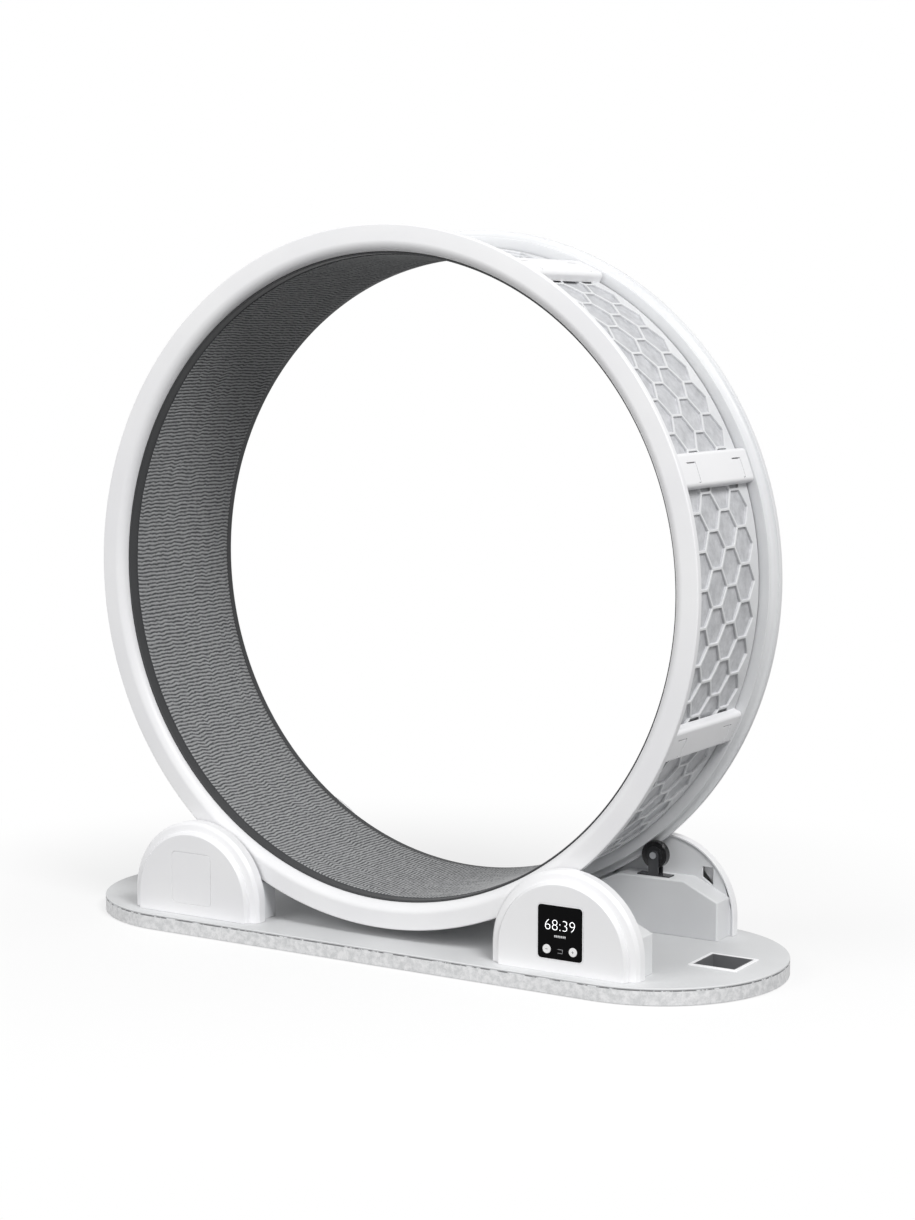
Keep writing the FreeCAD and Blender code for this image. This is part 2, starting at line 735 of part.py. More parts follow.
def main():
    os.makedirs("parts", exist_ok=True)
    save("base_tray", base_tray())
    save("base_deck", base_deck())
    save("base_feet", Part.makeCompound(upright(foot_radius, 0, foot_height, foot_spots)))
    save("socket_liner", socket_liner())
    save("base_screws", base_screws())

    save("ring_rear", on_wheel(rear_ring(), cover_angle))
    save("ring_front", on_wheel(front_ring(), cover_angle))
    magnet = magnet_bar(magnet_radius, bore_radius + magnet_depth - magnet_height)
    save("pass_magnet", on_wheel(mirrored(magnet, V(0, 1, 0)), cover_angle))
    one_panel = panel(leg_slots())
    one_cover = cover()
    for k in range(panel_count):
        save("drum_panel_%d" % (k + 1), on_wheel(one_panel, cover_angle + (k + 0.5) * sector_angle))
        save("joint_cover_%d" % (k + 1), on_wheel(one_cover, cover_angle + k * sector_angle))
    save("running_mat", on_wheel(lining(mat_front, mat_rear, mat_thickness)))
    band = lining(mat_rear + small_gap, face_y - rear_edge, trim_thickness)
    save("edge_trim_rear", on_wheel(band))
    front = mat_front - small_gap
    band = lining(front - front_trim_width, front, trim_thickness)
    save("edge_trim_front", on_wheel(band))

    shell, bay_shell, body = support_shell(False), support_shell(True), support_body()
    bracket, tyre, hub, pin = roller_bracket(), roller_tyre(), roller_hub(), axle()
    pins = []
    for row, sy in (("front", -1), ("rear", 1)):
        for side, sx in (("left", -1), ("right", 1)):
            def put(shape):
                if sy < 0:
                    shape = mirrored(shape, V(0, 1, 0))
                return moved(shape, x=sx * support_x)
            tag = "_%s_%s" % (row, side)
            save("support_shell" + tag, put(bay_shell if sy < 0 else shell))
            save("support_body" + tag, put(body))
            save("roller_bracket" + tag, put(bracket))
            save("roller_tyre" + tag, put(tyre))
            save("roller_hub" + tag, put(hub))
            pins.append(put(pin))
    save("roller_axles", Part.makeCompound(pins))

    save("display_frame", at_front(bay_frame(), 1))
    save("display_glass", at_front(display_glass(), 1))
    save("display_button_left", at_front(display_button(-1), 1))
    save("display_button_right", at_front(display_button(1), 1))
    save("display_board", at_front(display_board(), 1))
    save("battery_pack", at_front(battery_pack(), 1))
    save("pass_sensor", at_front(pass_sensor(), 1))
    save("blank_plate", at_front(blank_plate(), -1))


main()
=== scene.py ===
# %% [markdown]
# # An exercise wheel, dressed for a photograph
#
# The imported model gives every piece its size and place. This lesson gives each piece its
# finish: rounded edges, moulded plastic, ribbed carpet, rubber, and a lit display. Every
# object stays in metres in the model's own frame, so nothing has to be fitted by eye.

# %% Load the frame
import json
import math
import bmesh
import bpy
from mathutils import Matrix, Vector, noise

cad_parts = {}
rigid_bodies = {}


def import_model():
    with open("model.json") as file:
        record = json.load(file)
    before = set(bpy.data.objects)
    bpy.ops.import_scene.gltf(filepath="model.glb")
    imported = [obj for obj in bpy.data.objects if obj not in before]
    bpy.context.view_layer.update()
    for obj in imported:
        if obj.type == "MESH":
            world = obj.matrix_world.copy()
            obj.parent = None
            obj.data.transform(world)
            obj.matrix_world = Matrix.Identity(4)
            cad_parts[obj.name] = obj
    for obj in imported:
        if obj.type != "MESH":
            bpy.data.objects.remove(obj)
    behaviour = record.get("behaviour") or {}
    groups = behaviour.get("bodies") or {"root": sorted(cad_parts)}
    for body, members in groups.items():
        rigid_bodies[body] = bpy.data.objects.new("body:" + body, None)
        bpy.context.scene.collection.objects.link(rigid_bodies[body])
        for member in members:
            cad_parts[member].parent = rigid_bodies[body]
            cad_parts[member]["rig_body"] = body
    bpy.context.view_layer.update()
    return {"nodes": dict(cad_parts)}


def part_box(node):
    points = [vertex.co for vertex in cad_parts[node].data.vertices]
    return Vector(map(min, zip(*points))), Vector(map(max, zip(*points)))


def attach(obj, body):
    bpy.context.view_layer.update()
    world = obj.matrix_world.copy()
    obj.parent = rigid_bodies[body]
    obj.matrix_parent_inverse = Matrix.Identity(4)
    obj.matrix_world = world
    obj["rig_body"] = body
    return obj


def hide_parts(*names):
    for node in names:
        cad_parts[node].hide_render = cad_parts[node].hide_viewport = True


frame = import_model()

MM = 0.001
nodes = frame["nodes"]

# %% [markdown]
# ## Sizes that the lesson uses
#
# A few sizes come straight from the boxes of the CAD nodes: the axle's height, the rim's
# radius and its two faces from the front ring, and the bore's radius from the mat. The rest
# are small sizes that a maker would choose, such as an edge's rounding.

# %% Main sizes
ring_low, ring_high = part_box("ring_front")
mat_low, mat_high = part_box("running_mat")
AXLE = Vector((0, 0, (ring_low.z + ring_high.z) / 2))
RIM_RADIUS = (ring_high.z - ring_low.z) / 2
BORE_RADIUS = (mat_high.z - mat_low.z) / 2
FACE_Y = -ring_low.y
FLANK_Y = -ring_high.y
LIP_WIDTH = 10 * MM
LIP_HEIGHT = 9 * MM
TRACK_RADIUS = RIM_RADIUS - LIP_HEIGHT
INNER_ROUND = 15 * MM
REAR_BORE_ROUND = 1.3 * MM
OUTER_ROUND = 2 * MM
LIP_ROUND = 0.8 * MM
FLANK_ROUND = 1.0 * MM
PANEL_DEPTH = 9 * MM
COMB_HEIGHT = 4 * MM
SKIN_RADIUS = BORE_RADIUS + PANEL_DEPTH
COMB_RADIUS = SKIN_RADIUS + COMB_HEIGHT
SIDES = ("front_left", "front_right", "rear_left", "rear_right")
print("axle", AXLE.z, "rim", RIM_RADIUS, "bore", BORE_RADIUS)

# %% [markdown]
# ## Camera
#
# The view was worked out from the rim's circles: they give the focal length in pixels and
# the camera's direction. Blender wants a lens in millimetres on a 36 mm sensor, fitted to
# the long side of the picture, so the pixels are scaled by the picture's height.

# %% Camera
PICTURE_HEIGHT = 1220
FOCAL_PIXELS = 2409
CENTRE_BELOW_PIXELS = 11.4
SENSOR = 36.0
CAMERA_AT = Vector((1.8641, -2.9626, 0.8849))
CAMERA_TO = Vector((0.0486, 0.0, 0.473))

camera_data = bpy.data.cameras.new("camera")
camera_data.sensor_width = SENSOR
camera_data.lens = FOCAL_PIXELS / PICTURE_HEIGHT * SENSOR
camera_data.shift_y = CENTRE_BELOW_PIXELS / PICTURE_HEIGHT
camera = bpy.data.objects.new("camera", camera_data)
bpy.context.scene.collection.objects.link(camera)
camera.location = CAMERA_AT
camera.rotation_euler = (CAMERA_TO - CAMERA_AT).to_track_quat("-Z", "Y").to_euler()
bpy.context.scene.camera = camera
bpy.context.scene.view_settings.view_transform = "Standard"
print("lens", round(camera_data.lens, 2))

# %% [markdown]
# ## Helpers for materials
#
# Colours are written as sRGB hex values, as in any paint program, and one function turns
# them to the linear values that Blender's shaders use. Another adds one node with its
# settings and its links, so a whole material reads as a short list.

# %% Material helpers
def linear(code):
    """Linear colour of an sRGB hex value."""
    parts = [int(code[i:i + 2], 16) / 255 for i in (1, 3, 5)]
    return tuple(c / 12.92 if c <= 0.04045 else ((c + 0.055) / 1.055) ** 2.4 for c in parts) + (1.0,)


def add(tree, kind, settings=None, links=None, **values):
    """Add one node: settings are its properties, values its sockets, links what feeds it."""
    made = tree.nodes.new("ShaderNode" + kind)
    for name, value in (settings or {}).items():
        setattr(made, name, value)
    for name, value in values.items():
        made.inputs[name.replace("_", " ")].default_value = value
    for name, source in (links or {}).items():
        key = int(name) if name.isdigit() else name
        tree.links.new(source, made.inputs[key])
    return made


def new_material(name):
    """An empty material with a Principled shader and Object coordinates."""
    made = bpy.data.materials.new(name)
    made.use_nodes = True
    tree = made.node_tree
    tree.nodes.clear()
    shader = add(tree, "BsdfPrincipled")
    add(tree, "OutputMaterial", links={"Surface": shader.outputs["BSDF"]})
    place = add(tree, "TexCoord").outputs["Object"]
    return made, tree, shader, place


DRIFT_SCALE = 6.0        # the colour drifts over some 15 cm
GRAIN_ROUGHNESS = 0.06   # the grain makes the surface this much rougher or smoother


def moulded(name, colour, shade, grain_mm, roughness, bump_mm=0.03, specular=0.5):
    """Moulded plastic: a faint drift of colour and the fine grain of a spark-eroded mould."""
    made, tree, shader, place = new_material(name)
    drift = add(tree, "TexNoise", links={"Vector": place}, Scale=DRIFT_SCALE, Detail=3.0)
    grain = add(tree, "TexNoise", links={"Vector": place}, Scale=1000.0 / grain_mm, Detail=2.0)
    ramp = add(tree, "ValToRGB", links={"Fac": drift.outputs["Fac"]})
    ramp.color_ramp.elements[0].position = 0.35
    ramp.color_ramp.elements[0].color = linear(shade)
    ramp.color_ramp.elements[1].position = 0.65
    ramp.color_ramp.elements[1].color = linear(colour)
    tree.links.new(ramp.outputs["Color"], shader.inputs["Base Color"])
    rough = add(tree, "MapRange", links={"Value": grain.outputs["Fac"]},
                To_Min=roughness - GRAIN_ROUGHNESS, To_Max=roughness + GRAIN_ROUGHNESS)
    tree.links.new(rough.outputs["Result"], shader.inputs["Roughness"])
    bump = add(tree, "Bump", links={"Height": grain.outputs["Fac"]}, Strength=0.5)
    bump.inputs["Distance"].default_value = bump_mm * MM
    tree.links.new(bump.outputs["Normal"], shader.inputs["Normal"])
    shader.inputs["Specular IOR Level"].default_value = specular
    shader.inputs["IOR"].default_value = 1.5
    return made


# %% [markdown]
# ## The plastics
#
# The wheel is injection moulded. White ABS takes a satin texture from the mould, so its
# highlights are wide and soft. The supports' bodies and the rear ring are the same white ABS
# in greyer copies, as painted shade; the base is ABS in a greyer shade, and the drum's panels
# are polypropylene. The grain of a real mould is about 0.1 mm, too fine to show from three
# and a half metres, so it is drawn some ten times as coarse or more, and very shallow.

# %% Plastics
WHITE_ABS = moulded("white satin moulded ABS", "#EDEDEE", "#E8E8EA", 1.2, 0.42)
COVER_ABS = moulded("white satin moulded ABS of the supports", "#F1F1F2", "#EDEDEF", 1.2, 0.36)
# the supports' bodies are the white ABS in a greyer copy, as painted shade
BODY_SHADED_ABS = moulded("off-white satin moulded ABS of the bodies", "#E2E3E4", "#DBDCDE", 1.2, 0.42)
# the rear ring is the white ABS in a greyer copy, as painted shade
REAR_SHADED_ABS = moulded("off-white satin moulded ABS of the rear ring", "#E5E6E7", "#DFE0E2", 1.2, 0.42)
CHARCOAL_ABS = moulded("charcoal moulded ABS", "#47484A", "#3F4042", 1.5, 0.5)
LINER_ABS = moulded("dark grey moulded ABS", "#717274", "#68696B", 1.5, 0.5)
BRACKET_PC = moulded("smoked glossy polycarbonate", "#424346", "#2A2B2E", 2.0, 0.18)
TYRE_PU = moulded("black glossy polyurethane", "#141416", "#0E0E10", 2.0, 0.16)
HUB_PA = moulded("black moulded nylon", "#1D1E20", "#151617", 1.5, 0.35)
TRIM_RUBBER = moulded("black extruded EPDM rubber", "#303133", "#27282A", 0.9, 0.6, bump_mm=0.1)
print("plastics", len(bpy.data.materials))

# %% [markdown]
# ## Three plastics with a pattern
#
# The tray's edge is stippled: its mould was sprayed with coarse grit, which leaves pale and
# dark flecks a few millimetres wide. A broken dark line of painted shade runs under the deck,
# in the joint. The drum's panels are one plastic throughout; their cells are painted darker
# than the tops of the ribs as shade in the hollows, over a speckled tone, and a dark line of
# painted shade marks their joint with each rim ring. The deck's plastic turns white on the
# raised lip round the socket. One coordinate drives each of these changes.

# %% Plastics with a pattern
# each pair says how far from an edge a change of colour starts and ends
# the tray's broken dark line is painted shade in its joint with the deck
SEAM_SHADE = (1.5 * MM, 1.1 * MM)    # below the top of the tray
WHITE_LIP = (1.7 * MM, 1.2 * MM)    # below the highest point of the deck
# the panels' dark line at the rim rings is painted shade in the joint
JOINT_SHADE = (1.6 * MM, 1.2 * MM)   # inside the flanks of the rim rings
CELL_MARGIN = 1 * MM                # above the bottom of the cells and below the top of the ribs


def shader_of(made):
    return next(n for n in made.node_tree.nodes if n.bl_idname == "ShaderNodeBsdfPrincipled")


def speckle(tree, scale, dark, pale, spread=(0.38, 0.62)):
    """A cloudy pattern between two colours."""
    place = add(tree, "TexCoord").outputs["Object"]
    flecks = add(tree, "TexNoise", links={"Vector": place}, Scale=scale, Detail=4.0, Roughness=0.7)
    ramp = add(tree, "ValToRGB", links={"Fac": flecks.outputs["Fac"]})
    for element, spot, colour in zip(ramp.color_ramp.elements, spread, (dark, pale)):
        element.position = spot
        element.color = linear(colour)
    return ramp.outputs["Color"]


def blend(tree, source, low, high, first, second):
    """Go from the first colour to the second while a measured value goes from low to high."""
    share = add(tree, "MapRange", links={"Value": source}, From_Min=low, From_Max=high)
    mixed = add(tree, "Mix", {"data_type": "RGBA"}, {"0": share.outputs["Result"]})
    tree.links.new(first, mixed.inputs[6])
    tree.links.new(second, mixed.inputs[7])
    return mixed.outputs[2]


def stippled_plastic():
    made = moulded("light grey stippled ABS", "#E8E9EA", "#DCDDDE", 3.5, 0.55, bump_mm=0.3)
    tree = made.node_tree
    flecks = speckle(tree, 115.0, "#D9DADB", "#F4F4F5")
    # the dark dashes at the top of the tray are painted shade in the joint under the deck
    dashes = speckle(tree, 60.0, "#77787A", "#E2E3E4", spread=(0.5, 0.58))
    height = add(tree, "SeparateXYZ", links={"Vector": add(tree, "TexCoord").outputs["Object"]})
    top = tray_high.z
    colour = blend(tree, height.outputs["Z"], top - SEAM_SHADE[0], top - SEAM_SHADE[1], flecks, dashes)
    tree.links.new(colour, shader_of(made).inputs["Base Color"])
    return made


def deck_plastic():
    made = moulded("pale grey fine-textured ABS", "#D9DADB", "#D2D3D4", 1.6, 0.5)
    tree = made.node_tree
    plain = shader_of(made).inputs["Base Color"].links[0].from_socket
    lip = speckle(tree, 8.0, "#F4F4F5", "#F7F7F8")
    height = add(tree, "SeparateXYZ", links={"Vector": add(tree, "TexCoord").outputs["Object"]})
    top = deck_high.z
    colour = blend(tree, height.outputs["Z"], top - WHITE_LIP[0], top - WHITE_LIP[1], plain, lip)
    tree.links.new(colour, shader_of(made).inputs["Base Color"])
    return made


def panel_plastic():
    made = moulded("pale grey moulded polypropylene", "#E0E1E2", "#D8D9DB", 1.5, 0.45)
    tree = made.node_tree
    smooth = shader_of(made).inputs["Base Color"].links[0].from_socket
    place = add(tree, "TexCoord").outputs["Object"]
    flat = add(tree, "Mapping", links={"Vector": place})
    flat.inputs["Location"].default_value = (0, 0, -AXLE.z)
    flat.inputs["Scale"].default_value = (1, 0, 1)
    radius = add(tree, "VectorMath", {"operation": "LENGTH"}, {"0": flat.outputs["Vector"]})
    # the cells' darker colour is painted shade in the hollows, over a speckled tone of the plastic
    rough = speckle(tree, 60.0, "#B2B3B6", "#CCCDD0", spread=(0.35, 0.65))
    shaded_cells = blend(tree, radius.outputs["Value"], SKIN_RADIUS + CELL_MARGIN,
                  COMB_RADIUS - CELL_MARGIN, rough, smooth)
    # a dark line of painted shade where the panels meet the rim rings
    joint = speckle(tree, 90.0, "#808184", "#A0A1A4")
    across = add(tree, "SeparateXYZ", links={"Vector": place})
    side = add(tree, "Math", {"operation": "ABSOLUTE"}, {"0": across.outputs["Y"]})
    colour = blend(tree, side.outputs["Value"], FLANK_Y - JOINT_SHADE[0],
                   FLANK_Y - JOINT_SHADE[1], shaded_cells, joint)
    tree.links.new(colour, shader_of(made).inputs["Base Color"])
    return made


tray_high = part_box("base_tray")[1]
deck_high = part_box("base_deck")[1]
TRAY_ABS = stippled_plastic()
DECK_ABS = deck_plastic()
PANEL_PP = panel_plastic()

# %% [markdown]
# ## Steel and the circuit board
#
# Steel is a metal, so its colour is the colour of its reflection and its IOR stays at the
# default. Turned pins get fine rings from a stretched noise. The board is green solder mask
# over glass fibre, with a faint drift of shade.

# %% Steel and board
def turned_steel():
    made, tree, shader, place = new_material("turned zinc-plated steel")
    stretch = add(tree, "Mapping", links={"Vector": place})
    stretch.inputs["Scale"].default_value = (40.0, 900.0, 40.0)
    rings = add(tree, "TexNoise", links={"Vector": stretch.outputs["Vector"]}, Scale=1.0, Detail=2.0)
    ramp = add(tree, "ValToRGB", links={"Fac": rings.outputs["Fac"]})
    ramp.color_ramp.elements[0].color = linear("#B4B7BB")
    ramp.color_ramp.elements[1].color = linear("#DADCDF")
    tree.links.new(ramp.outputs["Color"], shader.inputs["Base Color"])
    rough = add(tree, "MapRange", links={"Value": rings.outputs["Fac"]}, To_Min=0.2, To_Max=0.34)
    tree.links.new(rough.outputs["Result"], shader.inputs["Roughness"])
    shader.inputs["Metallic"].default_value = 1.0
    return made


STEEL = turned_steel()
BOARD = moulded("green solder mask over glass fibre", "#2C6A45", "#24573A", 3.0, 0.3)

# %% [markdown]
# ## Helpers for shapes
#
# Two ways of making a piece cover nearly the whole wheel. A round piece starts as a small
# profile and is spun about the axle. A moulded housing starts as a merged copy of its CAD
# node: the copy gets small rounded edges, because no moulded edge is sharp, and those
# catch the light. Weighted normals then keep the flat faces flat.

# %% Shape helpers
COPY_MERGE = 2e-6
SPIN_MERGE = 1e-6
ON_CORNER = 1e-5
FLAT_WITHIN_DEGREES = 0.4
SHARP_DEGREES = 32
SPIN_STEPS = 256
RING_STEPS = 288
SEGMENT_SIZE = 1.5 * MM
MOST_SEGMENTS = 8


def finish_piece(mesh_object, body, material, replaced=()):
    """Give a piece its material and its body, and hide the CAD nodes that it stands for."""
    mesh_object.data.materials.clear()
    mesh_object.data.materials.append(material)
    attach(mesh_object, body)
    if replaced:
        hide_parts(*replaced)
    return mesh_object


def to_object(name, bm):
    """A new object at the origin from a bmesh, smooth all over."""
    for face in bm.faces:
        face.smooth = True
    mesh = bpy.data.meshes.new(name)
    bm.to_mesh(mesh)
    bm.free()
    made = bpy.data.objects.new(name, mesh)
    bpy.context.scene.collection.objects.link(made)
    return made


def soften(made, width, segments=2):
    """Round the sharp edges, and weight the normals by face area."""
    if width:
        edge = made.modifiers.new("rounded edges", "BEVEL")
        edge.width = width
        edge.segments = segments
        edge.limit_method = "ANGLE"
        edge.angle_limit = math.radians(SHARP_DEGREES)
        edge.use_clamp_overlap = False
        edge.miter_outer = "MITER_ARC"
    flat = made.modifiers.new("weighted normals", "WEIGHTED_NORMAL")
    flat.keep_sharp = False
    flat.weight = 100
    return made


def dressed(node, material, width, segments=2):
    """A merged and rounded copy of a CAD node."""
    bm = bmesh.new()
    bm.from_mesh(nodes[node].data)
    bmesh.ops.remove_doubles(bm, verts=bm.verts, dist=COPY_MERGE)
    bmesh.ops.dissolve_limit(bm, angle_limit=math.radians(FLAT_WITHIN_DEGREES),
                             verts=bm.verts, edges=bm.edges)
    made = soften(to_object(node + "_finished", bm), width, segments)
    return finish_piece(made, nodes[node]["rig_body"], material, [node])


def spun(name, profile, rounds, steps=SPIN_STEPS):
    """Spin a closed profile of (radius, y) about the Y axis; rounds gives a corner's radius."""
    bm = bmesh.new()
    corners = [bm.verts.new((r, y, 0)) for r, y in profile]
    loop = [bm.edges.new((a, b)) for a, b in zip(corners, corners[1:] + corners[:1])]
    bmesh.ops.spin(bm, geom=corners + loop, cent=(0, 0, 0), axis=(0, 1, 0),
                   angle=math.tau, steps=steps, use_merge=True)
    bmesh.ops.remove_doubles(bm, verts=bm.verts, dist=SPIN_MERGE)
    for k, size in sorted(rounds.items()):
        r, y = profile[k]
        hoop = [e for e in bm.edges
                if all(abs(math.hypot(v.co.x, v.co.z) - r) < ON_CORNER
                       and abs(v.co.y - y) < ON_CORNER for v in e.verts)]
        segments = min(MOST_SEGMENTS, int(size / SEGMENT_SIZE) + 2)
        bmesh.ops.bevel(bm, geom=hoop, offset=size, offset_type="OFFSET",
                        segments=segments, profile=0.5,
                        affect="EDGES", material=-1, clamp_overlap=False)
    bmesh.ops.translate(bm, verts=bm.verts, vec=AXLE)
    bmesh.ops.recalc_face_normals(bm, faces=bm.faces)
    made = to_object(name, bm)
    print(name, len(made.data.polygons), "faces")
    return made


# %% [markdown]
# ## Rim rings
#
# Each ring is one closed moulding with a soft inner edge, a flat face, a lip that guides
# the rollers and a narrow track behind it. Its profile has six corners, and the spin
# makes the rest. Four of them are rounded after the spin, each by its own radius.

# %% Rim rings
def rim_ring(name, sy):
    lip_y = FACE_Y - LIP_WIDTH
    corners = [(BORE_RADIUS, FLANK_Y), (BORE_RADIUS, FACE_Y), (RIM_RADIUS, FACE_Y),
               (RIM_RADIUS, lip_y), (TRACK_RADIUS, lip_y), (TRACK_RADIUS, FLANK_Y)]
    profile = [(r, sy * y) for r, y in corners]
    bore_round = INNER_ROUND if sy < 0 else REAR_BORE_ROUND
    rounds = {1: bore_round, 2: OUTER_ROUND, 3: LIP_ROUND, 5: FLANK_ROUND}
    ring = soften(spun(name + "_finished", profile, rounds, steps=RING_STEPS), 0)
    # the rear ring takes a greyer copy of the white ABS as painted shade
    return finish_piece(ring, "drum", WHITE_ABS if sy < 0 else REAR_SHADED_ABS, [name])


rim_ring("ring_front", -1)
rim_ring("ring_rear", 1)

# %% [markdown]
# ## Housings
#
# The drum's honeycomb panels, their covers, the arched supports, the base and the display
# housing keep the exact shape of their CAD nodes. What a stand-in lacks is the small
# rounding of every edge, so that is what each copy gets.

# %% Drum panels and covers
PANELS = 8
for k in range(1, PANELS + 1):
    dressed("drum_panel_%d" % k, PANEL_PP, 0.9 * MM)
    dressed("joint_cover_%d" % k, COVER_ABS, 0.35 * MM)

# %% [markdown]
# ## Supports and rollers
#
# Four supports stand on the base, and each is a set of the same five pieces. One table lists
# what each piece is made of and how far its edges are rounded, and a loop dresses the sets.

# %% Supports and rollers
# piece, material, slot, rounding in mm, segments of the rounding
SUPPORT_PIECES = (
    ("support_shell_", COVER_ABS, "white_plastic", 0.8, 3),
    # the body's greyer plastic is painted shade
    ("support_body_", BODY_SHADED_ABS, "white_plastic", 0.9, 2),
    ("roller_bracket_", BRACKET_PC, "dark_plastic", 0.3, 2),
    ("roller_tyre_", TYRE_PU, "tyre", 0.5, 2),
    ("roller_hub_", HUB_PA, "dark_plastic", 0.2, 2),
)
for side in SIDES:
    for piece, material, slot_name, rounding, segments in SUPPORT_PIECES:
        dressed(piece + side, material, rounding * MM, segments)

# %% [markdown]
# ## Base
#
# The deck and the tray get the same rounded edges as the supports' bodies. Feet, screws,
# axles and the magnet are small, so their edges are barely broken.

# %% Base
# node, material, slot, rounding in mm
BASE_PIECES = (
    ("base_deck", DECK_ABS, "deck_plastic", 0.9),
    ("base_tray", TRAY_ABS, "deck_plastic", 0.9),
    ("socket_liner", LINER_ABS, "dark_plastic", 0.2),
    ("base_feet", TRIM_RUBBER, "black_rubber", 0.25),
    ("base_screws", STEEL, "steel", 0.25),
    ("roller_axles", STEEL, "steel", 0.25),
    ("pass_magnet", STEEL, "steel", 0.25),
)
for node, material, slot_name, rounding in BASE_PIECES:
    dressed(node, material, rounding * MM)

# %% [markdown]
# ## Carpet
#
# The running surface is a ribbed polypropylene carpet, laid into the drum as one long
# strip. Its ribs lie across the run, 5.8 mm apart, and wander a little, because the loops
# are tufted by machine into a soft backing. A flat grid is rolled into a ring. Each rib
# keeps its four rows of points, so it never fades out, and the rows are pushed along the
# run by a smooth noise, which makes the ribs wavy without breaking them.

# %% Carpet
RIBS = 496
RIB_POINTS = 4
MAT_POINTS = 40
RIB_HEIGHT = 1.1 * MM
RIB_WANDER = 2.6 * MM
FINE_WANDER = 0.9 * MM
WAVE_ACROSS = 11 * MM
WAVE_ALONG = 48 * MM
MAT_THICKNESS = 4.5 * MM
MAT_TOP = BORE_RADIUS - MAT_THICKNESS
MAT_WIDTH = mat_high.y - mat_low.y


def carpet():
    bm = bmesh.new()
    bmesh.ops.create_grid(bm, x_segments=RIBS * RIB_POINTS, y_segments=MAT_POINTS, size=0.5)
    middle = (mat_low.y + mat_high.y) / 2
    for v in bm.verts:
        turn = (v.co.x + 0.5) * math.tau
        across = v.co.y * MAT_WIDTH
        crest = 0.5 + 0.5 * math.cos(RIBS * turn)
        spot = Vector((MAT_TOP * math.cos(turn) / WAVE_ALONG, across / WAVE_ACROSS,
                       MAT_TOP * math.sin(turn) / WAVE_ALONG))
        bend = noise.noise(spot) * RIB_WANDER + noise.noise(spot * 2.7) * FINE_WANDER
        turn += bend / MAT_TOP
        r = MAT_TOP + (1.0 - crest) * RIB_HEIGHT
        v.co = (r * math.cos(turn), middle + across, r * math.sin(turn))
    bmesh.ops.remove_doubles(bm, verts=bm.verts, dist=1e-6)
    # the two edges go down to the drum, and a flat back joins them
    sides = bmesh.ops.extrude_edge_only(bm, edges=[e for e in bm.edges if e.is_boundary])["geom"]
    for v in (g for g in sides if isinstance(g, bmesh.types.BMVert)):
        out = BORE_RADIUS / math.hypot(v.co.x, v.co.z)
        v.co = (v.co.x * out, v.co.y, v.co.z * out)
    hems = [e for e in sides if isinstance(e, bmesh.types.BMEdge) and e.is_boundary]
    bmesh.ops.bridge_loops(bm, edges=hems)
    bmesh.ops.translate(bm, verts=bm.verts, vec=AXLE)
    bmesh.ops.recalc_face_normals(bm, faces=bm.faces)
    print("open edges in the carpet", sum(not e.is_manifold for e in bm.edges))
    return to_object("running_mat_finished", bm)


mat = carpet()
print("carpet", len(mat.data.polygons), "faces")

# %% [markdown]
# ## Finish of the carpet
#
# The loops of grey yarn are painted darker in the grooves as shade, so the colour follows the
# height: the material reads the distance from the axle and darkens the grooves. A fine noise
# breaks the ribs into single loops, and sheen gives the fibres their pale glow at the edges.

# %% Carpet material
LOOP_CONTRAST = 0.35
DASH_CONTRAST = 0.22


def carpet_material():
    made, tree, shader, place = new_material("grey ribbed polypropylene loop carpet")
    flat = add(tree, "Mapping", links={"Vector": place})
    flat.inputs["Location"].default_value = (0, 0, -AXLE.z)
    flat.inputs["Scale"].default_value = (1, 0, 1)
    radius = add(tree, "VectorMath", {"operation": "LENGTH"}, {"0": flat.outputs["Vector"]})
    # the grooves are darkened with painted shade, by their distance from the axle
    groove_shade = add(tree, "MapRange", links={"Value": radius.outputs["Value"]},
                From_Min=MAT_TOP, From_Max=MAT_TOP + RIB_HEIGHT)
    loops = add(tree, "TexNoise", links={"Vector": place}, Scale=450.0, Detail=2.0)
    spread = add(tree, "MapRange", links={"Value": loops.outputs["Fac"]},
                 To_Min=-LOOP_CONTRAST, To_Max=LOOP_CONTRAST)
    # single loops differ in shade: dashes some 8 mm long that lie along the ribs
    stretch = add(tree, "Mapping", links={"Vector": place})
    stretch.inputs["Scale"].default_value = (420.0, 120.0, 420.0)
    dashes = add(tree, "TexNoise", links={"Vector": stretch.outputs["Vector"]}, Scale=1.0, Detail=2.0)
    worn = add(tree, "MapRange", links={"Value": dashes.outputs["Fac"]},
               From_Min=0.3, From_Max=0.7, To_Min=-DASH_CONTRAST, To_Max=DASH_CONTRAST)
    added = add(tree, "Math", {"operation": "ADD"},
                {"0": spread.outputs["Result"], "1": worn.outputs["Result"]})
    mixed = add(tree, "Math", {"operation": "ADD"},
                {"0": groove_shade.outputs["Result"], "1": added.outputs["Value"]})
    ramp = add(tree, "ValToRGB", links={"Fac": mixed.outputs["Value"]})
    ramp.color_ramp.elements[0].position = 0.25
    ramp.color_ramp.elements[0].color = linear("#A4A5A6")
    ramp.color_ramp.elements[1].position = 0.85
    ramp.color_ramp.elements[1].color = linear("#4C4D4F")
    tree.links.new(ramp.outputs["Color"], shader.inputs["Base Color"])
    bump = add(tree, "Bump", links={"Height": loops.outputs["Fac"]}, Strength=0.6)
    bump.inputs["Distance"].default_value = 0.4 * MM
    tree.links.new(bump.outputs["Normal"], shader.inputs["Normal"])
    shader.inputs["Roughness"].default_value = 0.9
    shader.inputs["Sheen Weight"].default_value = 0.1
    shader.inputs["Specular IOR Level"].default_value = 0.2
    return made


finish_piece(mat, "drum", carpet_material(), ["running_mat"])

# %% [markdown]
# ## Rubber edge trims
#
# A band of black rubber covers each joint between the carpet and the rim ring. It is an
# extrusion with rounded shoulders, so it is spun like the rings, with a soft bevel.

